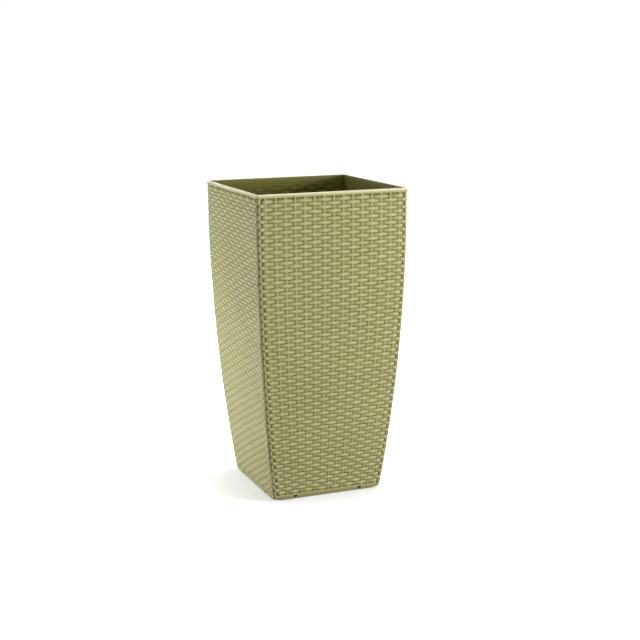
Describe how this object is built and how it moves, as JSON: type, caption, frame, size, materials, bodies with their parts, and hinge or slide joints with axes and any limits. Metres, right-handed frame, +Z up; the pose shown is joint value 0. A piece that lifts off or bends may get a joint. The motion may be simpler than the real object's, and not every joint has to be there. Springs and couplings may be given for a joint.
{
  "type": "square planter",
  "caption": "Tall square floor planter with tapered woven-look plastic walls on a base plate, and a drop-in liner with swing handles.",
  "frame": {"origin": "on the floor, under the middle of the planter", "axes": "+Z up; the front wall faces -Y and the right wall faces +X"},
  "size_m": [0.304, 0.304, 0.6],
  "materials": {
    "woven_wall": "satin moulded",
    "base_black": "matt moulded",
    "liner_black": "fine grained",
    "bail_black": "smooth"
  },
  "bodies": {
    "planter": {"wall_panel_front": "woven_wall", "wall_panel_right": "woven_wall", "wall_panel_back": "woven_wall", "wall_panel_left": "woven_wall", "base_plate": "base_black"},
    "liner": {"liner": "liner_black"},
    "front_bail": {"bail_front": "bail_black"},
    "back_bail": {"bail_back": "bail_black"}
  },
  "joints": [
    {"name": "liner_lift", "type": "slide", "parent": "planter", "child": "liner", "axis": [0, 0, 1], "range_m": [0, 0.36]},
    {"name": "front_bail_swing", "type": "hinge", "parent": "liner", "child": "front_bail", "pos_m": [0, -0.007, 0.5423], "axis": [-1, 0, 0], "range_deg": [0, 90]},
    {"name": "back_bail_swing", "type": "hinge", "parent": "liner", "child": "back_bail", "pos_m": [0, 0.007, 0.5423], "axis": [1, 0, 0], "range_deg": [0, 90]}
  ]
}
